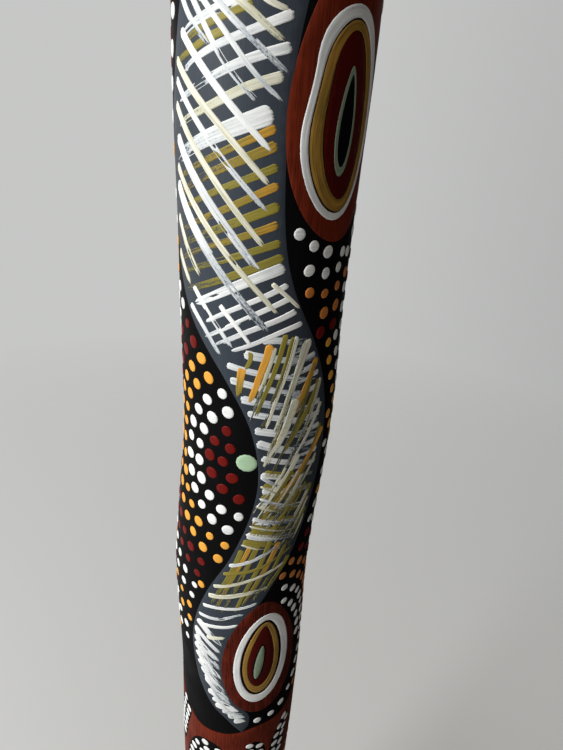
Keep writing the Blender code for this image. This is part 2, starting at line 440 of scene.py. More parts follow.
def well_inside(points, polygon, margin):
    """Which points lie inside the polygon and not nearer than margin to its corners."""
    inside = np.zeros(len(points), bool)
    x, y = points[:, 0], points[:, 1]
    for (x0, y0), (x1, y1) in zip(polygon, np.roll(polygon, -1, 0)):
        if y0 != y1:
            crosses = (y0 > y) != (y1 > y)
            inside ^= crosses & (x < (x1 - x0) * (y - y0) / (y1 - y0) + x0)
    for corner in polygon:
        inside &= np.hypot(x - corner[0], y - corner[1]) > margin
    return inside


def unit(vectors):
    return vectors / np.linalg.norm(vectors, axis=-1, keepdims=True)


def left_of(directions):
    """Each direction turned a quarter to the left."""
    return np.stack([-directions[..., 1], directions[..., 0]], -1)


def between(at, reach, pairs):
    """Pairs read at some distances, where reach gives each pair's own distance."""
    return np.stack([np.interp(at, reach, pairs[:, axis]) for axis in (0, 1)], -1)


def dense(points, step, closed=False):
    """Evenly spaced points along a polyline of flat points."""
    points = np.asarray(points, float)
    if closed:
        points = np.concatenate([points, points[:1]])
    reach = np.concatenate([[0], np.cumsum(np.linalg.norm(np.diff(points, axis=0), axis=1))])
    count = max(3, int(round(reach[-1] / step)))
    at = np.linspace(0, reach[-1], count + 1)
    return between(at[:-1] if closed else at, reach, points)


def dot(paint, turn, height, radius, rng):
    """A dab from the end of a dotting stick: nearly round, flat-topped, with a soft shoulder."""
    k = float(degree(height))
    squash = 1 + rng.uniform(-0.05, 0.05)
    phase, wobble = rng.uniform(0, 6.28), rng.uniform(0.0, 0.05)
    angle = np.arange(DOT_SIDES) * 2 * math.pi / DOT_SIDES
    reach = radius * (1 + wobble * np.cos(2 * angle + phase))
    places, brush = [], []
    for share, rise in DOT_PROFILE:
        x, y = share * reach * np.cos(angle) * squash, share * reach * np.sin(angle) / squash
        level = np.full(DOT_SIDES, FOOT if rise is None else COAT["field"] + rise * DOT_DOME)
        places.append(np.stack([turn + x / k, height + y, level], -1))
        brush.append(np.stack([x / MM + turn, (height + y) / MM, np.full(DOT_SIDES, DOT_DRY)], -1))
    places.append([(turn, height, COAT["field"] + DOT_DOME), (turn, height, FOOT)])
    brush.append([(turn, height / MM, DOT_DRY)] * 2)
    start = paint.count
    sides = band_quads(len(DOT_PROFILE), DOT_SIDES, closed_columns=True)
    paint.add(np.concatenate(places), np.concatenate(brush), sides)
    edge = np.arange(DOT_SIDES)
    after = np.roll(edge, -1)
    top = (len(DOT_PROFILE) - 1) * DOT_SIDES
    middle = np.full(DOT_SIDES, top + DOT_SIDES)
    paint.faces.append(np.stack([top + edge, top + after, middle], -1) + start)
    paint.faces.append(np.stack([after, edge, middle + 1], -1) + start)


def stroke(paint, path, width, rng, lift, dry):
    """One pull of a flat brush along (turn, height) places, full at its start and ragged at its end."""
    k = float(degree(path[:, 1].mean()))
    line = dense(path * (k, 1.0), STROKE_STEP / 2)
    length = np.linalg.norm(np.diff(line, axis=0), axis=1).sum()
    streaks = max(2, int(round(width / STREAK_WIDTH)))
    lines = 2 * streaks + 1
    rows = max(4, int(round(length / STROKE_STEP)))
    across = np.linspace(-1, 1, lines)
    nose = width / 2 * (1 - np.sqrt(np.clip(1 - across * across, 0, 1)))
    begin = nose + np.array([rng.uniform(0, 0.25) for _ in across]) * MM * (1 + 2 * dry)
    teeth = np.array([rng.expovariate(1.0) for _ in across]) * (0.01 + 0.03 * dry) * length
    end = length - width * 0.8 * np.abs(across) ** 1.8 - np.minimum(teeth, 0.25 * length)
    end = np.maximum(end, begin + 0.25 * length)
    s = begin + (end - begin) * np.linspace(0, 1, rows + 1)[:, None]
    reach = np.linspace(0, length, len(line))
    swell = 0.95 + 0.15 * np.exp(-s / (1.2 * width)) - 0.30 * (s / length) ** 2
    waver = 0.10 * MM * np.sin(s / length * rng.uniform(4, 9) + rng.uniform(0, 6.28))
    side = across * width / 2 * swell + waver
    heading = between(s, reach, unit(np.gradient(line, axis=0)))
    points = between(s, reach, line) + left_of(heading) * side[..., None]

    # Where a dry brush skipped, the faces between two of its ridges are left out.
    kept = np.ones((rows, lines - 1), bool)
    for streak in range(streaks):
        if rng.random() < 0.5 * dry and rows > 8:
            first = int(rng.uniform(0.45, 0.95) * rows)
            skip = 1 + int(rng.expovariate(1.0) * dry * 0.15 * rows)
            kept[first:first + skip, 2 * streak:2 * streak + 2] = False
    around = np.zeros((rows + 2, lines + 1), bool)
    around[1:-1, 1:-1] = kept
    corners = (around[:-1, :-1], around[1:, :-1], around[:-1, 1:], around[1:, 1:])
    full, used = np.all(corners, axis=0), np.any(corners, axis=0)
    ridge = np.where(np.arange(lines) % 2 == 1, 1.0, 0.72) * (1.0 - 0.45 * (s / length))
    level = np.where(full, lift + STROKE_BODY * ridge, FOOT)
    number = np.full(used.shape, -1)
    number[used] = np.arange(used.sum())
    places = np.stack([points[..., 0] / k, points[..., 1], level], -1)[used]
    offset = rng.uniform(0, 900)
    drier = np.minimum(0.80, dry * (0.35 + 1.35 * (s / length) ** 1.6))
    brush = np.stack([s / MM + offset, side / MM + offset / 3, drier], -1)[used]
    i, j = np.nonzero(kept)
    quads = np.stack([number[i, j], number[i + 1, j], number[i + 1, j + 1], number[i, j + 1]], -1)
    add_skin(paint, places, brush, quads)


def loop_stroke(paint, outer, inner, rng, lines=9):
    """A stroke that closes on itself, between two loops of equally many (turn, height) places."""
    k = float(degree(outer[:, 1].mean()))
    outer, inner = outer * (k, 1.0), inner * (k, 1.0)
    shape = (len(outer), lines)
    across = np.broadcast_to(np.linspace(0, 1, lines), shape).copy()
    gap = np.linalg.norm(outer - inner, axis=1)
    for column in (0, -1):
        across[:, column] += np.array([rng.gauss(0, 0.06) for _ in gap]) * MM / gap
    points = outer[:, None] + (inner - outer)[:, None] * across[..., None]
    ridge = 0.8 + 0.2 * np.cos(np.arange(lines) * 2.4)
    level = np.broadcast_to(COAT["ring"] + 0.12 * MM * ridge, shape).copy()
    level[:, 0] = level[:, -1] = FOOT
    places = np.stack([points[..., 0] / k, points[..., 1], level], -1).reshape(-1, 3)
    steps = np.linalg.norm(np.roll(outer, -1, 0) - outer, axis=1)
    run = np.broadcast_to(np.cumsum(steps)[:, None] / MM, shape)
    brush = np.stack([run, across * gap[:, None] / MM, np.full(shape, RING_DRY)], -1).reshape(-1, 3)
    add_skin(paint, places, brush, band_quads(*shape, closed_rows=True)[:, [0, 3, 2, 1]])


# ---- The painting's plan ----

# The hatched river's two banks: height, then turn. It widens, narrows and wanders, and ends in tails.
LEFT_BANK = (
    (0.405, 8), (0.410, 0), (0.4155, -8), (0.4225, -20), (0.431, -29), (0.442, -37), (0.462, -41),
    (0.480, -36), (0.500, -24), (0.525, -5), (0.555, 6), (0.580, -1), (0.600, -20), (0.622, -53),
    (0.645, -70), (0.670, -72), (0.700, -58), (0.740, -30), (0.780, -10), (0.810, -18), (0.845, -54),
    (0.880, -76), (0.920, -66), (0.960, -38), (0.995, -26), (1.035, -46), (1.075, -62), (1.100, -58), (1.115, -45),
)
RIGHT_BANK = (
    (0.405, 8), (0.411, 14), (0.420, 13), (0.429, 0), (0.440, -8), (0.455, -10), (0.475, -2), (0.500, 25),
    (0.525, 48), (0.555, 61), (0.580, 61), (0.605, 49), (0.635, 21.5), (0.660, 13.5), (0.695, 15),
    (0.730, 30), (0.775, 57), (0.820, 46), (0.860, 14), (0.900, 2), (0.940, 18), (0.990, 48),
    (1.030, 42), (1.070, 6), (1.100, -28), (1.115, -45),
)
BANK_LOW, BANK_HIGH = LEFT_BANK[0][0], LEFT_BANK[-1][0]
RIVERS = {"front": (0.0, 0.0), "back": (180.0, 0.07)}  # turn and height that each river is moved by

# Each loop of an oval, in mm: its middle to the right and up from the oval's own, half its width and height,
# and its top's lean to the right. Then, as shares, how sharp its upper end is and how dented its left side.
LEAF_OVAL = {
    "field": (2.7, 4.4, 22.7, 38.3, 0.0, 0.27),
    "white": ((0.4, 0.2, 15.1, 27.2, 0.7, -0.15, 0.17), (0.7, -0.3, 13.0, 24.4, 0.2, 0.07, 0.11)),
    "gap": (0.7, -0.3, 13.4, 24.8, 0.2, 0.07, 0.11),
    "old_gold": ((0.7, -0.3, 13.1, 24.5, 0.2, 0.07, 0.11), (1.1, 0.3, 8.8, 21.0, -0.3, 0.07, 0.08)),
    "heart": (1.0, 0.3, 9.1, 21.4, -0.3, 0.07, 0.08),
    "inside": (0.6, -0.5, 4.2, 14.0, 0.6, 0.47),
    "grey_green": ((0.6, -0.5, 4.4, 14.2, 0.6, 0.47), (0.8, -0.3, 2.9, 11.4, 0.6, 0.50)),
}
DROP_OVAL = {
    "field": (0.0, 0.4, 20.6, 37.7, 0.2, 0.34),
    "white": ((0.2, 0.6, 14.2, 29.7, 1.7, 0.15), (-0.3, 1.7, 10.2, 24.5, 1.4, 0.25)),
    "gap": (-0.3, 1.7, 10.8, 25.1, 1.4, 0.25),
    "old_gold": ((-0.3, 1.7, 9.5, 23.7, 1.4, 0.28), (-0.5, 3.1, 6.8, 19.7, 1.3, 0.55)),
    "heart": (-0.5, 3.1, 7.1, 20.0, 1.3, 0.55),
    "inside": (-1.7, -0.5, 3.0, 12.2, 1.6, 0.10),
    "drop": (-1.7, -0.5, 2.3, 11.2, 1.6, 0.16),
}
OVALS = (  # turn, height, size and loops; one set by each river
    (24.5, 0.4575, 1.0, DROP_OVAL),
    (46.5, 0.680, 1.0, LEAF_OVAL),
    (42, 0.902, 0.93, LEAF_OVAL),
)
EYES = ((-3, 0.568), (-17, 0.788), (-33, 1.000))

# Where the red-brown bell zone ends: turn, then height.
SHORE = (
    (-180, 0.474), (-140, 0.462), (-100, 0.435), (-75, 0.418), (-64, 0.4096), (-52, 0.4055), (-35, 0.402),
    (-8, 0.403), (5, 0.405), (20, 0.408), (42, 0.4085), (57, 0.411), (75, 0.418), (100, 0.435), (140, 0.462),
    (180, 0.474),
)
COLLAR = 1.128  # a red-brown collar runs from here up to the wax
TOP = TRUNK_LENGTH - WAX_SKIRT + 4 * MM
BARE_BELOW, BARE_TURNS = 0.425, (-60, 2)  # beside the front river's tail the black has no dabs
EGG_POINTS = 96
OUTLINE_STEP = 1.2 * MM


def bank(side, height):
    """Turns of the river's banks on that side at that height, or None above and below it."""
    turn, rise = RIVERS[side]
    low = height - rise
    if not BANK_LOW <= low <= BANK_HIGH:
        return None
    return smooth(LEFT_BANK, low)[0] + turn, smooth(RIGHT_BANK, low)[0] + turn


def shore(turn):
    return smooth(SHORE, (turn + 180) % 360 - 180)[0]


def egg(turn, height, half_width, half_height, rng, wobble, lean=0.0, point=0.0, dent=0.0):
    """A hand-drawn oval. lean moves its top right, point sharpens it, and dent flattens its left side."""
    t = np.arange(EGG_POINTS) * 2 * math.pi / EGG_POINTS
    narrow = 1 - point * (1 + np.sin(t)) ** 2 / 4
    narrow *= 1 - dent * np.exp(-((t - math.radians(160)) / math.radians(24)) ** 2)
    shake = sum(wobble / wave * np.cos(wave * t + rng.uniform(0, 6.28)) for wave in (2, 3, 5))
    x = half_width * np.cos(t) * narrow * (1 + shake) + lean * np.sin(t)
    y = half_height * np.sin(t) * (1 + shake)
    return np.stack([turn + x / float(degree(height)), height + y], -1)


def wrapped(turn):
    return (turn + 180) % 360 - 180


def on_black(turn, height, room):
    """True if a dab with that much room round it would lie on bare black ground."""
    k = float(degree(height))
    for step in range(9):
        angle = step * math.pi / 4
        reach = room if step < 8 else 0
        t, h = turn + reach * math.cos(angle) / k, height + reach * math.sin(angle)
        if h > COLLAR - 2 * MM or h < shore(t) + 1.2 * MM:
            return False
        if h < BARE_BELOW and BARE_TURNS[0] < t < BARE_TURNS[1]:
            return False
        for side in RIVERS:
            banks = bank(side, h)
            if banks and 0 <= (t - banks[0]) % 360 <= banks[1] - banks[0]:
                return False
        for centre_turn, centre_height, size, loops in all_ovals():
            right, rise, half_width, half_height, _, point = loops["field"]
            y = ((h - centre_height) / MM / size - rise) / half_height
            if abs(y) < 1:
                x = wrapped(t - centre_turn) * k / MM / size - right
                if abs(x) < half_width * math.sqrt(1 - y * y) * (1 - point * (1 + y) ** 2 / 4):
                    return False
    return True


def all_ovals():
    for turn, rise in RIVERS.values():
        for oval_turn, height, size, loops in OVALS:
            yield oval_turn + turn, height + rise, size, loops


# ---- Painting it ----

def wrap_band(kind, colour, low, high, lift):
    """A coat all round the trunk. low and high are heights, or functions of the turn."""
    turns = np.arange(BAND_SIDES) * 360 / BAND_SIDES - 180
    bottom, top = (np.array([edge(t) if callable(edge) else edge for t in turns]) for edge in (low, high))
    rows = max(4, int(np.mean(top - bottom) / BAND_STEP))
    levels = [bottom + (top - bottom) * (row / rows) for row in range(rows + 1)]
    levels.insert(1, bottom + BAND_BEVEL)
    levels.insert(-1, top - BAND_BEVEL)
    levels = np.array(levels)
    lifts = np.full(levels.shape, lift)
    lifts[0] = lifts[-1] = FOOT
    places = np.stack([np.broadcast_to(turns, levels.shape), levels, lifts], -1).reshape(-1, 3)
    run, across = places[:, 1] / MM, np.abs(places[:, 0]) * MM_PER_DEGREE
    brush = np.stack([run, across, np.full(len(places), BAND_DRY)], -1)
    add_skin(piece_for(kind, colour), places, brush, band_quads(len(levels), BAND_SIDES, closed_columns=True))


def paint_grounds():
    wrap_band("ground", "black", 1.2 * MM, TOP, COAT["ground"])
    wrap_band("bell_zone", "red_brown", 0.052, shore, COAT["field"])
    wrap_band("collar", "red_brown", COLLAR, TOP - 0.012, COAT["field"])


def paint_river(side):
    turn, rise = RIVERS[side]
    heights = np.arange(BANK_LOW, BANK_HIGH, 1.6 * MM)
    right = [(smooth(RIGHT_BANK, h)[0], h) for h in heights]
    left = [(smooth(LEFT_BANK, h)[0], h) for h in heights[::-1]]
    k = float(degree(0.6))
    outline = dense(np.array(right + left) * (k, 1.0), 1.3 * MM, closed=True) / (k, 1.0)
    field("river", "slate", outline + (turn, rise), COAT["field"], side)


# Hatching. Each family of strokes has a layer and two rails of places (turn, height) to run between. Then come
# how many strokes share the rails, or None for one from each place, their widths in mm, how dry they are,
# their bow in mm, and their paints by letter. Widths and paints are taken in turn.
LETTERS = {"w": "white", "c": "cream", "o": "ochre", "g": "olive"}
LATTICE = (  # crossing strokes on the river's wide reach
    (0, ((8, 0.678), (9, 0.674), (10, 0.6685), (11, 0.6635), (12, 0.658), (15, 0.6535), (16, 0.648),
      (17, 0.6435)),
     ((-60, 0.660), (-61, 0.6555), (-58, 0.651), (-59, 0.6445), (-60, 0.640), (-61, 0.636),
      (-60, 0.6315), (-55, 0.626)),
     None, (2.5, 3.1, 2.6), 0.62, -0.3, "oogogogg"),
    (0, ((8, 0.715), (-6, 0.705), (-20, 0.699)),
     ((-46, 0.705), (-52, 0.695), (-60, 0.690)),
     None, (2.3,), 0.60, -0.4, "g"),
    (1, ((24, 0.726), (18, 0.712), (13, 0.7035), (13, 0.6965), (10, 0.690)),
     ((-44, 0.708), (-54, 0.696), (-52, 0.688), (-57, 0.681), (-58, 0.674)),
     None, (3.4, 3.0, 2.4, 2.7, 2.8), 0.44, -1.0, "wwwwc"),
    (1, ((6, 0.6815),),
     ((-63, 0.665),),
     None, (5.0,), 0.40, -0.6, "w"),
    (2, ((-57, 0.710), (-48, 0.709), (-42, 0.7095), (-40, 0.7117), (-28, 0.7112), (-14, 0.7115)),
     ((-28, 0.694), (-1.5, 0.682), (10, 0.6835), (13, 0.6897), (10.5, 0.697), (11, 0.703)),
     None, (2.3, 2.4, 2.2, 2.6, 2.3, 2.0), 0.38, -1.0, "wwwwcc"),
    (2, ((-54, 0.699), (-60, 0.6925), (-61, 0.6875), (-62, 0.6815), (-61, 0.673), (-63, 0.665),
      (-64, 0.660), (-65, 0.650), (-65, 0.639)),
     ((6, 0.6705), (7, 0.662), (6, 0.6545), (5, 0.6445), (2, 0.6375), (15, 0.624), (9, 0.618),
      (-37, 0.632), (-47, 0.6285)),
     None, (2.6, 2.7, 2.4, 2.6, 3.5, 2.8, 3.8, 2.6, 2.5), 0.27, 0.4, "wcwcwcwcc"),
    (1, ((17, 0.6405), (19.5, 0.635), (22, 0.631), (26, 0.6265), (31, 0.622)),
     ((-46, 0.623), (-36, 0.618), (-37, 0.6125), (-29, 0.611), (-17, 0.6105)),
     None, (3.8, 2.1, 2.3, 2.3, 2.0), 0.28, -0.4, "w"),
    (2, ((7.5, 0.6355), (-46, 0.630), (-49, 0.6235), (-24, 0.6265), (-8, 0.644)),
     ((30, 0.625), (-13, 0.6113), (-21, 0.6078), (0, 0.6125), (2.5, 0.638)),
     None, (2.0, 2.2, 2.3, 1.9, 1.3), 0.25, 0.2, "cwwww"),
)
WEAVE = (  # rows crossed by lines that fan out along the river's narrow reach
    (0, ((2, 0.616), (-9, 0.6105), (-20, 0.606), (-18, 0.6005), (-12, 0.594), (-8, 0.589), (-4, 0.5825),
      (-1, 0.577), (2, 0.571), (4, 0.5635), (5, 0.5565), (4, 0.5495), (2, 0.542), (-1, 0.5345)),
     ((41, 0.6145), (46, 0.6075), (49, 0.599), (51, 0.5935), (53, 0.5875), (54, 0.582), (55, 0.576),
      (55, 0.568), (56, 0.563), (57, 0.557), (56, 0.551), (54, 0.5435), (51, 0.536), (46, 0.529)),
     None, (3.0, 3.4, 2.8), 0.62, 0.5, "w"),
    (0, ((8, 0.567), (8, 0.545), (-2, 0.529)),
     ((57, 0.560), (52, 0.539), (44, 0.524)),
     8, (3.4,), 0.62, 0.4, "g"),
    (0, ((41, 0.6165), (50, 0.602), (55, 0.580), (56, 0.560)),
     ((18, 0.612), (20, 0.598), (24, 0.580), (24, 0.562)),
     11, (2.4,), 0.55, -0.4, "w"),
    (1, ((6, 0.613), (25, 0.618), (34, 0.616), (50, 0.603), (56, 0.580), (54, 0.560)),
     ((-8, 0.586), (4, 0.580), (10, 0.568), (16, 0.556), (16, 0.540), (4, 0.528)),
     7, (2.0,), 0.80, 0.7, "cg"),
    (1, ((-2, 0.613), (-7.5, 0.607), (10, 0.6155), (20, 0.619), (27, 0.618), (36, 0.6165), (46, 0.610),
      (49, 0.600), (53, 0.590), (30, 0.5952), (59, 0.578), (35, 0.5715), (46, 0.567), (54, 0.5535),
      (24, 0.562), (40, 0.555)),
     ((-7, 0.6035), (-12.8, 0.5925), (-4.5, 0.5915), (0, 0.586), (7.4, 0.5817), (13, 0.5795),
      (11, 0.573), (19.7, 0.5715), (24, 0.5645), (8, 0.5655), (4, 0.5385), (16, 0.5515), (24, 0.5505),
      (33, 0.534), (8, 0.541), (18, 0.534)),
     None, (1.9, 3.1, 2.8, 2.4), 0.24, 0.6, "googccogccocggcg"),
    (1, ((-2, 0.526), (9, 0.530), (22, 0.532), (36, 0.528), (43, 0.517)),
     ((-22, 0.494), (-17, 0.487), (-2, 0.489), (12, 0.496), (24, 0.503)),
     7, (2.8, 2.3), 0.60, 0.6, "gog"),
    (2, ((22, 0.568), (40, 0.563), (54, 0.549), (50, 0.537)),
     ((2, 0.546), (12, 0.536), (26, 0.525), (38, 0.521)),
     9, (1.5, 2.1), 0.78, 0.5, "cgc"),
    (2, ((4, 0.567), (4, 0.553), (-1, 0.540), (-8, 0.529)),
     ((34, 0.556), (44, 0.545), (48, 0.533), (38, 0.523)),
     8, (1.8, 1.3), 0.80, -0.5, "wc"),
    (2, ((-9, 0.5175), (-18, 0.511), (-21, 0.504), (-28, 0.4975), (-30, 0.4905), (-33, 0.4835),
      (-33, 0.478), (-26, 0.472)),
     ((34, 0.5285), (45, 0.524), (43, 0.518), (36, 0.5075), (28, 0.498), (10, 0.4905), (4, 0.484),
      (-6, 0.475)),
     None, (2.2, 2.0, 2.2, 2.7), 0.34, -1.1, "wgccwwwc"),
)
TAIL = (
    (1, ((-36, 0.484), (-39, 0.473), (-39, 0.463), (-37, 0.454), (-30, 0.446), (-26, 0.433),
      (-19, 0.4245), (-8, 0.4185), (0, 0.4135)),
     ((-9, 0.470), (-9, 0.460), (-10, 0.450), (-10, 0.439), (-5, 0.4306), (0, 0.4265), (7, 0.4215),
      (15, 0.4175), (13, 0.4125)),
     14, (4.0, 3.4), 0.40, 0.6, "w"),
    (2, ((-36, 0.478), (-36, 0.460), (-26, 0.440), (-10, 0.4215)),
     ((-18, 0.452), (-16, 0.438), (-6, 0.424), (8, 0.4125)),
     6, (2.4,), 0.45, -0.5, "w"),
)
# Each family, and where it is used again: how far round and how far up.
HATCHING = (
    (TAIL, ((0, 0.0),)),
    (WEAVE, ((0, 0.0), (-14, 0.234), (-16, 0.448))),
    (LATTICE, ((0, 0.0), (-3, 0.222), (2, 0.436))),
)


def hatch(side, family, move, rng):
    """Strokes of one family, each cut off where the river ends."""
    layer, starts, ends, count, widths, dry, bow, paints = family
    turn, rise = RIVERS[side]
    k = float(degree(starts[0][1]))
    coat = COAT["hatch"] + 0.03 * MM * layer
    rails = [(np.array(rail) + move) * (k, 1.0) for rail in (starts, ends)]
    shares = [(number + 0.5 + rng.uniform(-0.16, 0.16)) / count for number in range(count or 0)]
    for number, share in enumerate(shares or np.linspace(0, 1, len(starts))):
        start, end = (between(share * (len(rail) - 1), range(len(rail)), rail) for rail in rails)
        reach = end - start
        length = np.linalg.norm(reach)
        way = np.arange(0, length, PATH_STEP) / length
        side_step = left_of(reach) / length * bow * MM
        line = start + reach * way[:, None] + side_step * (4 * way * (1 - way))[:, None]
        line += side_step * 0.3 * np.sin(way * rng.uniform(5, 9) + rng.uniform(0, 6))[:, None]
        width = widths[number % len(widths)]
        left_margin, right_margin = rng.uniform(-0.1, 0.6) * MM, rng.uniform(0.2, 1.0) * MM
        wet = [in_river(x / k, h, left_margin / k, right_margin / k) for x, h in line]
        run = longest_run(wet)
        if run and (run[1] - run[0]) * PATH_STEP > 1.7 * width * MM:
            path = line[run[0]:run[1]] / (k, 1.0) + (turn, rise)
            wide = width * MM * rng.uniform(0.90, 1.10)
            dryness = min(1.0, max(0.05, dry + rng.gauss(0, 0.10)))
            paint = piece_for("hatch", LETTERS[paints[number % len(paints)]], side)
            stroke(paint, path, wide, rng, coat, dryness)


def in_river(turn, height, left_margin, right_margin):
    if not BANK_LOW < height < BANK_HIGH:
        return False
    left, right = smooth(LEFT_BANK, height)[0], smooth(RIGHT_BANK, height)[0]
    return left + left_margin < turn < right - right_margin


def longest_run(flags):
    """First index of the longest stretch of true flags, and one past its last."""
    runs = [list(run) for flag, run in groupby(range(len(flags)), lambda i: flags[i]) if flag]
    longest = max(runs, key=len, default=None)
    return longest and (longest[0], longest[-1] + 1)


def paint_oval(turn, height, size, loops, rng):
    """Nested rings on a red-brown field, round a hollow leaf or a filled drop."""
    def loop(shape, wobble=0.010):
        right, rise, half_width, half_height, lean = (value * size * MM for value in shape[:5])
        middle = turn + right / float(degree(height))
        return egg(middle, height + rise, half_width, half_height, rng, wobble, lean, *shape[5:])

    def disc(kind, colour, shape, lift, grid=2.4, wobble=0.0, dry=0.12):
        lift = COAT["field"] + lift * MM
        field(kind, colour, resampled(loop(shape, wobble)), lift, grid=grid * MM, dry=dry)

    disc("oval_field", "red_brown", loops["field"], 0.03, wobble=0.005, dry=0.48 if "drop" in loops else 0.12)
    disc("oval_gap", "black", loops["gap"], 0.05)
    disc("oval_heart", "maroon", loops["heart"], 0.08, 1.8)
    disc("oval_leaf", "black", loops["inside"], 0.11, 1.2)
    if "drop" in loops:
        disc("drop", "grey_green", loops["drop"], 0.16, 1.0)
    for colour in ("white", "old_gold", "grey_green"):
        if colour in loops:
            outer, inner = (loop(shape) for shape in loops[colour])
            loop_stroke(piece_for("ring", colour), outer, inner, rng)


def resampled(outline):
    k = float(degree(outline[:, 1].mean()))
    return dense(outline * (k, 1.0), OUTLINE_STEP, closed=True) / (k, 1.0)


DOTS = []  # turn, height and radius of each dab so far


def dab(colour, turn, height, radius, rng, anywhere=True, apart=0.9 * MM):
    """Sets a dab if it is clear of its neighbours and, unless it may lie anywhere, on bare black ground."""
    if not anywhere and not on_black(turn, height, radius + 0.5 * MM):
        return
    k = float(degree(height))
    for other_turn, other_height, other_radius in DOTS:
        room = radius + other_radius + apart
        if math.hypot(wrapped(other_turn - turn) * k, other_height - height) < room:
            return
    DOTS.append((turn, height, radius))
    dot(piece_for("dots", colour), turn, height, radius, rng)


def dotted_ring(turn, height, across, up, down, first, last, pitch, colour, radius, rng):
    """Dabs along part of an oval, whose upper and lower halves may differ, from one angle to another."""
    k = float(degree(height))
    angle = math.radians(first)
    while angle < math.radians(last):
        tall = up if math.sin(angle) > 0 else down
        x, y = across * math.cos(angle), tall * math.sin(angle)
        size = radius * rng.uniform(0.86, 1.12)
        shift_x, shift_y = rng.gauss(0, 0.17) * MM, rng.gauss(0, 0.17) * MM
        dab(colour, turn + (x + shift_x) / k, height + y + shift_y, size, rng, anywhere=False)
        speed = math.hypot(across * math.sin(angle), tall * math.cos(angle))
        angle += pitch / speed


# The rings' paints from the middle outwards, each for two rings.
EYE_COLOURS = ("dark_red", "white", "ochre", "dark_red", "white", "ochre", "white")
OVAL_COLOURS = ("white", "burnt_orange", "dark_red", "white", "ochre")
HEAD_START = 5  # how many rings each eye has before the ovals' rings begin to grow towards them
# A ring's reach sideways, up and down, and its growth from one ring to the next, in mm.
EYE_RING = ((21.5, 5.6), (22.8, 7.0), (24.2, 8.0))  # of an eye's third ring
OVAL_RING = ((21.8, 5.8), (38.0, 6.7), (38.0, 6.7))
LEAF_RING = ((21.8, 5.8), (43.0, 6.7), (36.4, 6.7))
EYE_PITCH, OVAL_PITCH = 7.4 * MM, 7.1 * MM


def eye_ring(turn, height, number, rng):
    """One of the rings of dabs that open out from a green eye over the black beside it."""
    ring = number - 2
    reaches = ((reach + growth * ring) * MM for reach, growth in EYE_RING)
    radius = (2.35 if ring < 2 else 2.15 if ring < 5 else 1.9) * MM
    colour = EYE_COLOURS[number // 2]
    first = 99 if ring % 2 else 95
    dotted_ring(turn + 3, height - 1 * MM, *reaches, first, 268, EYE_PITCH, colour, radius, rng)


def oval_ring(turn, height, size, loops, number, rng):
    ring = LEAF_RING if loops is LEAF_OVAL else OVAL_RING
    reaches = ((reach + growth * number) * MM * size for reach, growth in ring)
    colour = OVAL_COLOURS[number // 2]
    first = -124 + 5 * (number % 2)
    dotted_ring(turn, height, *reaches, first, 118, OVAL_PITCH, colour, 2.0 * MM, rng)


def paint_dots(rng):
    """Dabs over the black ground, in rings that grow outwards until they meet."""
    eyes = [(turn + eye_turn, rise + height) for turn, rise in RIVERS.values() for eye_turn, height in EYES]
    for turn, rise in RIVERS.values():
        for step in range(4):
            dab("white", turn - 67 - 3.6 * step, rise + 0.703 - 0.0088 * step, 2.3 * MM, rng, anywhere=False)
    for turn, height in eyes:
        dab("pale_green", turn, height, 3.9 * MM, rng)
    for number in range(2 * len(EYE_COLOURS)):
        for turn, height in eyes:
            eye_ring(turn, height, number, rng)
        if number >= HEAD_START:
            for oval in all_ovals():
                oval_ring(*oval, number - HEAD_START, rng)


def line_round(kind, colour, height, width, rng):
    """A brushed line right round the trunk, with a wavering lower edge."""
    phase = rng.uniform(0, 6.28)
    low, high = height - width * MM / 2, height + width * MM / 2
    wrap_band(kind, colour, lambda turn: low + 0.2 * MM * math.sin(math.radians(3 * turn) + phase), high,
              COAT["field"] + 0.05 * MM)


def dots_round(colour, height, count, radius, rng, first=0.0, scatter=0.2):
    """Evenly spaced dabs right round the trunk."""
    for i in range(count):
        rise = rng.gauss(0, scatter) * MM
        dab(colour, first + i * 360 / count, height + rise, radius * MM, rng)


# Bell and collar. Lines: paint, height, width in mm. Rows of dots: paint, height, count, radius in mm.
BELL_LINES = (("ochre", 0.050, 4.0), ("white", 0.030, 2.2))
BELL_DOTS = (("white", 0.040, 34, 2.2), ("ochre", 0.019, 38, 2.1), ("white", 0.0095, 40, 1.7))
COLLAR_LINES = (("ochre", COLLAR, 2.4), ("white", COLLAR + 0.048, 2.4))
COLLAR_DOTS = (
    ("white", COLLAR - 0.007, 24, 2.0), ("white", COLLAR + 0.012, 22, 2.0),
    ("ochre", COLLAR + 0.023, 22, 2.0), ("white", COLLAR + 0.034, 22, 2.0),
)
ROSETTES = ((-116, 0.326), (118, 0.355), (12, 0.245), (-165, 0.225), (-82, 0.150), (85, 0.140))
ROSETTE_DOTS = ((7.2, 9, "white", 1.7), (17.6, 19, "white", 1.75), (22.4, 22, "ochre", 1.7))  # reach, count
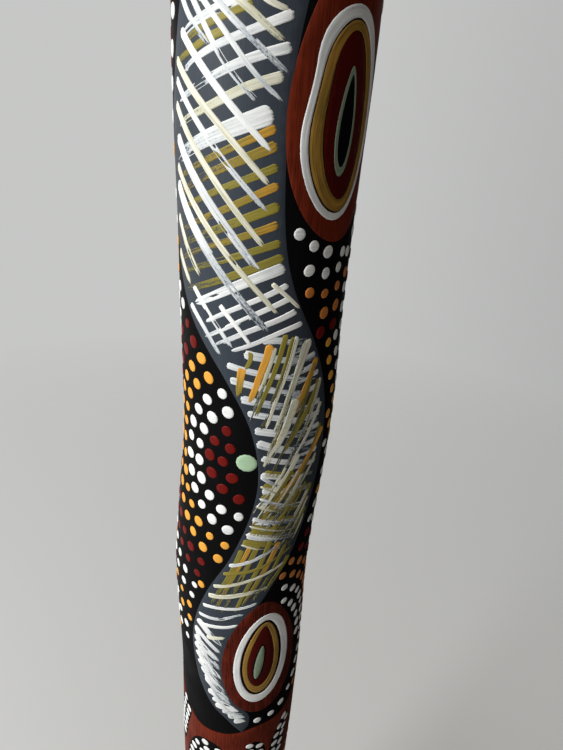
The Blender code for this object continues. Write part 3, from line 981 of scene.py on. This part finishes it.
# Dotted tracks across the bell zone, as places that a smooth line runs through.
TRACKS = (
    ((-55, 0.4075), (-58, 0.4033), (-64, 0.392), (-69, 0.380), (-73, 0.366)),
    ((-52, 0.330), (-46, 0.362), (-33, 0.383), (-18, 0.385), (-8, 0.366), (-4, 0.335), (-8, 0.300)),
    ((21, 0.395), (25, 0.372), (22, 0.345), (26, 0.312)),
    ((63, 0.402), (55, 0.394), (50, 0.380), (48, 0.355), (52, 0.325), (62, 0.300), (66, 0.265)),
    ((-150, 0.440), (-148, 0.400), (-155, 0.350), (-150, 0.300), (-158, 0.265)),
    ((160, 0.450), (165, 0.410), (172, 0.360), (168, 0.310), (174, 0.265)),
    ((-40, 0.290), (-48, 0.245), (-66, 0.200), (-74, 0.185)),
    ((50, 0.235), (45, 0.205), (52, 0.178)),
    ((-10, 0.200), (-20, 0.150), (-10, 0.105), (-16, 0.070)),
    ((120, 0.310), (128, 0.250), (120, 0.200), (112, 0.178)),
    ((150, 0.180), (160, 0.130), (150, 0.075)),
    ((-124, 0.285), (-120, 0.235), (-112, 0.200), (-108, 0.186)),
    ((-140, 0.150), (-134, 0.110), (-142, 0.070)),
)


def paint_bell(rng):
    """The red-brown zone: dotted tracks and rosettes, and a banded rim."""
    for line in BELL_LINES:
        line_round("line_bell", *line, rng)
    for row in BELL_DOTS:
        dots_round(*row, rng, first=-180)
    for turn, height in ROSETTES:
        rosette(turn, height, rng)
    for track in TRACKS:
        paint_track(track, rng)


def paint_track(places, rng):
    """A black path with two rows of white dabs on it."""
    k = float(degree(places[len(places) // 2][1]))
    rows = [(i / (len(places) - 1), turn * k, height) for i, (turn, height) in enumerate(places)]
    middle = dense([smooth(rows, s) for s in np.linspace(0, 1, 60)], 1.0 * MM)
    normal = left_of(unit(np.gradient(middle, axis=0)))
    share = np.linspace(-1, 1, len(middle))
    half = (5.4 * MM * (1 - np.abs(share) ** 12) + 0.3 * MM)[:, None]
    outline = np.concatenate([middle + normal * half, (middle - normal * half)[::-1]])
    outline = dense(outline, OUTLINE_STEP, closed=True) / (k, 1.0)
    field("track", "black", outline, COAT["field"] + 0.05 * MM)
    step = 6.0
    for row, way in enumerate((-1, 1)):
        at = 3.0 + row * step / 2
        while at < len(middle) - 3:
            i = int(at)
            x, h = middle[i] + normal[i] * way * 2.5 * MM
            dab("white", x / k, h, 2.1 * MM * rng.uniform(0.88, 1.1), rng, apart=0.2 * MM)
            at += step * rng.uniform(0.94, 1.08)


def rosette(turn, height, rng):
    """Rings of dabs round a ringed heart."""
    def circle(radius, wobble=0.01):
        return egg(turn, height, radius * MM, radius * MM, rng, wobble)

    k = float(degree(height))
    field("rosette", "black", resampled(circle(15, 0.02)), COAT["field"] + 0.05 * MM)
    for outside, inside, colour in ((12.3, 10.8, "ochre"), (3.8, 2.0, "white")):
        loop_stroke(piece_for("ring", colour), circle(outside), circle(inside), rng, lines=5)
    dab("pale_green", turn, height, 1.3 * MM, rng)
    for reach, count, colour, radius in ROSETTE_DOTS:
        for i in range(count):
            angle = 2 * math.pi * i / count
            x, y = reach * MM * math.cos(angle), reach * MM * math.sin(angle)
            dab(colour, turn + x / k, height + y, radius * MM, rng)


def paint_collar(rng):
    for line in COLLAR_LINES:
        line_round("line_collar", *line, rng)
    for colour, height, count, radius in COLLAR_DOTS:
        first = 180 / count if colour == "ochre" else 0.0
        dots_round(colour, height, count, radius, rng, first, 0.25)


def paint_everything():
    paint_grounds()
    for number, side in enumerate(RIVERS):
        paint_river(side)
        rng = random.Random(11 + number)
        for families, moves in HATCHING:
            for move in moves:
                for family in families:
                    hatch(side, family, move, rng)
    rng = random.Random(5)
    for turn, height, size, loops in all_ovals():
        paint_oval(turn, height, size, loops, rng)
    paint_dots(random.Random(23))
    paint_bell(random.Random(31))
    paint_collar(random.Random(37))
    for paint in PIECES.values():
        paint.build()


# ---- Wood and wax ----

def turned_piece(name, loops, material, node):
    """A closed body from level loops of points, the last of which joins the first."""
    quads = band_quads(len(loops), len(loops[0]), closed_rows=True, closed_columns=True)
    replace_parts(add_piece(name, np.concatenate(loops), quads.tolist(), material), node)


WOOD_SIDES, WAX_SIDES = 128, 120
WOOD_DROP = 0.10 * MM  # how far the wood lies under the trunk's surface, to make room for the paint
WAX_GAP = 0.3 * MM


def make_wood():
    """The hollow trunk with its sawn ends and its eaten-out bore."""
    turns = np.arange(WOOD_SIDES) * 360 / WOOD_SIDES

    def outside(height, inward=0.0):
        level = np.full(turns.shape, height)
        return on_trunk(turns, level, -WOOD_DROP - inward)

    def bore(height, outward=0.0):
        level = np.full(turns.shape, height)
        a = np.radians(turns)
        gnawed = 0.25 * np.sin(9 * a + 70 * height) + 0.18 * np.sin(14 * a - 110 * height + 1)
        gnawed += 0.22 * np.sin(90 * height + 2 * a) - 0.30
        fade = np.clip((TRUNK_LENGTH - 0.03 - height) / 0.03, 0, 1) * np.clip(height / 0.02, 0.2, 1)
        return spot(turns, level, bore_radius(turns, level) + outward + gnawed * fade * MM)

    corner = [(RIM_ROUNDING * (1 - math.cos(t)), RIM_ROUNDING * (1 - math.sin(t)))
              for t in np.linspace(0, math.pi / 2, 6)]
    loops = [outside(short, inward) for inward, short in reversed(corner)]
    loops += [outside(h) for h in np.linspace(RIM_ROUNDING, TRUNK_LENGTH - RIM_ROUNDING / 2, 190)[1:-1]]
    loops += [outside(TRUNK_LENGTH - short / 2, inward / 2) for inward, short in corner]
    loops += [bore(TRUNK_LENGTH - short / 2, inward / 2) for inward, short in reversed(corner)]
    loops += [bore(h) for h in np.linspace(TRUNK_LENGTH - RIM_ROUNDING / 2, RIM_ROUNDING, 230)[1:-1]]
    loops += [bore(short, inward) for inward, short in corner]
    turned_piece("trunk_wood", loops, wood_material(), "trunk")


# Up the wax's skirt: shares of its height and thickness. Down its lip: share of its length, flare in mm.
SKIRT_PROFILE = (
    (0.0, 0.04), (0.02, 0.28), (0.06, 0.48), (0.12, 0.66), (0.22, 0.80), (0.35, 0.90), (0.5, 0.96),
    (0.65, 1.0), (0.8, 1.0), (0.92, 1.0),
)
LIP_PROFILE = ((0.25, 0.05), (0.5, 0.25), (0.75, 0.6), (0.92, 0.9), (1.0, 1.2))


def make_wax():
    """The mouthpiece, pressed on by hand, so its skirt runs out unevenly and the rim carries thumb marks."""
    turns = np.arange(WAX_SIDES) * 360 / WAX_SIDES
    a = np.radians(turns)
    end = TRUNK_LENGTH
    foot = end - WAX_SKIRT + 0.9 * MM * np.sin(3 * a + 0.6) + 0.6 * MM * np.sin(5 * a + 2.2)
    foot += 0.3 * MM * np.sin(11 * a)
    rim_outside = MOUTH_RADIUS + WAX_THICKNESS
    rim_middle, rim_half = (rim_outside + WAX_HOLE_RADIUS) / 2, (rim_outside - WAX_HOLE_RADIUS) / 2
    level_end = np.full(WAX_SIDES, end)

    def pressed(height, depth=0.35):
        """Shallow thumb marks and the drag of fingers."""
        marks = np.sin(7 * a + 150 * height) + 0.6 * np.sin(12 * a - 260 * height + 1)
        marks += 0.5 * np.sin(4 * a + 1.7)
        return depth * MM * marks / 2

    def skirt(share, thickness):
        height = foot + (end - foot) * share
        marks = pressed(height) * min(1.0, 3 * thickness)
        return spot(turns, height, outside_radius(turns, height) + thickness * WAX_THICKNESS + marks)

    def turned(height, radius, depth):
        level = np.full(WAX_SIDES, min(height, end))
        return spot(turns, level, radius + pressed(height, depth)) + (0, 0, max(0.0, height - end))

    loops = [skirt(share, thickness) for share, thickness in SKIRT_PROFILE]
    for t in np.linspace(0, math.pi, 33):
        radius = rim_middle + rim_half * math.cos(t)
        loops.append(turned(end + WAX_RISE * math.sin(t) ** 0.8, radius, 0.30 if t < 2.4 else 0.12))
    for share, flare in LIP_PROFILE:
        loops.append(turned(end - share * WAX_LIP, WAX_HOLE_RADIUS + flare * MM, 0.10))
    # Back along the trunk, just clear of its bore and its end.
    loops.append(spot(turns, level_end - WAX_LIP, bore_radius(turns, level_end - WAX_LIP) - WAX_GAP))
    loops.append(spot(turns, level_end, bore_radius(turns, level_end) - WAX_GAP) + (0, 0, WAX_GAP))
    loops.append(spot(turns, level_end, outside_radius(turns, level_end) + 0.05 * MM) + (0, 0, WAX_GAP))
    loops.append(spot(turns, (foot + end) / 2, outside_radius(turns, (foot + end) / 2) - 0.02 * MM))
    turned_piece("beeswax_mouthpiece", loops, wax_material(), "wax_mouthpiece")


# ---- Studio ----

BACKDROP = (0.565, 0.572, 0.564)
WINDOW = (-0.92, 0.15, 0.36)  # the way to it
WINDOW_COLOUR = (1.0, 0.97, 0.94, 1.0)


def make_floor():
    """A pale round floor that fades into the backdrop."""
    bpy.ops.mesh.primitive_circle_add(vertices=96, radius=6.0, fill_type="NGON", location=(0, 0, 0))
    floor = bpy.context.object
    floor.name = "floor"
    n = Nodes(bpy.data.materials.new("pale_floor"))
    place = n.add("ShaderNodeTexCoord").outputs["Object"]
    away = n.add("ShaderNodeVectorMath", {0: place}, operation="LENGTH").outputs["Value"]
    cloud = n.noise(place, 1.4, 3.0, 0.5)
    shade = n.math("ADD", n.span(away, 0.15, 1.2), n.span(cloud, 0.3, 0.7, -0.08, 0.08))
    n.set(Base_Color=n.blend(shade, (0.60, 0.60, 0.59), (0.66, 0.66, 0.65)), Roughness=0.8)
    n.set(Specular_IOR_Level=0.1, Normal=n.bump(n.noise(place, 60.0), 0.05, 0.001))
    clear = n.add("ShaderNodeBsdfTransparent")
    far = n.span(away, 0.35, 1.35)
    n.show(n.add("ShaderNodeMixShader", {0: far, 1: n.shader.outputs[0], 2: clear.outputs[0]}))
    floor.data.materials.append(n.owner)
    floor.visible_glossy = False


def make_world():
    """A plain pale backdrop for the camera, with painted shade that makes it a little darker to +X, in a room
    whose window is to -X.
    """
    n = Nodes(bpy.data.worlds.new("studio"), "Background")
    bpy.context.scene.world = n.owner
    direction = n.add("ShaderNodeTexCoord").outputs["Generated"]
    split = n.add("ShaderNodeSeparateXYZ", {0: direction})
    # Painted shade: the backdrop the camera sees is dimmed towards +X, like a soft shadow on a wall.
    n.set(Color=(*BACKDROP, 1.0), Strength=n.span(split.outputs["X"], 0.05, 0.5, 1.0, 0.78))
    window = n.add("ShaderNodeVectorMath", {0: direction, 1: WINDOW}, operation="DOT_PRODUCT")
    light = n.span(window.outputs["Value"], -0.5, 1.0, 0.02, 0.80)
    room = n.add("ShaderNodeBackground", {"Color": WINDOW_COLOUR, "Strength": light})
    seen = n.add("ShaderNodeLightPath").outputs["Is Camera Ray"]
    n.show(n.add("ShaderNodeMixShader", {0: seen, 1: room.outputs[0], 2: n.shader.outputs[0]}))


def soft_light(name, place, aim, size, power, colour):
    data = bpy.data.lights.new(name, "AREA")
    data.shape, data.size, data.size_y = "RECTANGLE", size[0], size[1]
    data.energy, data.color = power, colour
    lamp = bpy.data.objects.new(name, data)
    lamp.location = place
    lamp.rotation_euler = (Vector(aim) - Vector(place)).to_track_quat("-Z", "Y").to_euler()
    bpy.context.scene.collection.objects.link(lamp)


CAMERA_PLACE = (0.008, -0.1902, 0.690)
CAMERA_PITCH, CAMERA_ROLL = 28, 4.8
CAMERA_LENS = 27.02


def make_camera():
    """Held close to the trunk, tilted down, and a little off level."""
    pitch, roll = math.radians(CAMERA_PITCH), math.radians(CAMERA_ROLL)
    forward = Vector((0, math.cos(pitch), -math.sin(pitch)))
    level = Vector((1, 0, 0))
    upright = level.cross(forward)
    right = math.cos(roll) * level + math.sin(roll) * upright
    up = right.cross(forward)
    data = bpy.data.cameras.new("camera")
    data.lens, data.sensor_width, data.clip_start = CAMERA_LENS, 36.0, 0.01
    camera = bpy.data.objects.new("camera", data)
    turned = Matrix((right, up, -forward)).transposed().to_4x4()
    camera.matrix_world = Matrix.Translation(CAMERA_PLACE) @ turned
    bpy.context.scene.collection.objects.link(camera)
    bpy.context.scene.camera = camera


def main():
    bpy.context.scene.view_settings.view_transform = "Standard"
    make_camera()
    make_world()
    make_floor()
    soft_light("key", (-1.42, -0.82, 1.35), (0, 0, 0.65), (1.0, 1.4), 42.0, (0.97, 0.99, 1.0))
    soft_light("fill", (1.0, -1.3, 1.5), (0, 0, 0.6), (1.2, 1.2), 2.0, (1.0, 0.92, 0.84))
    make_wood()
    make_wax()
    paint_everything()


main()
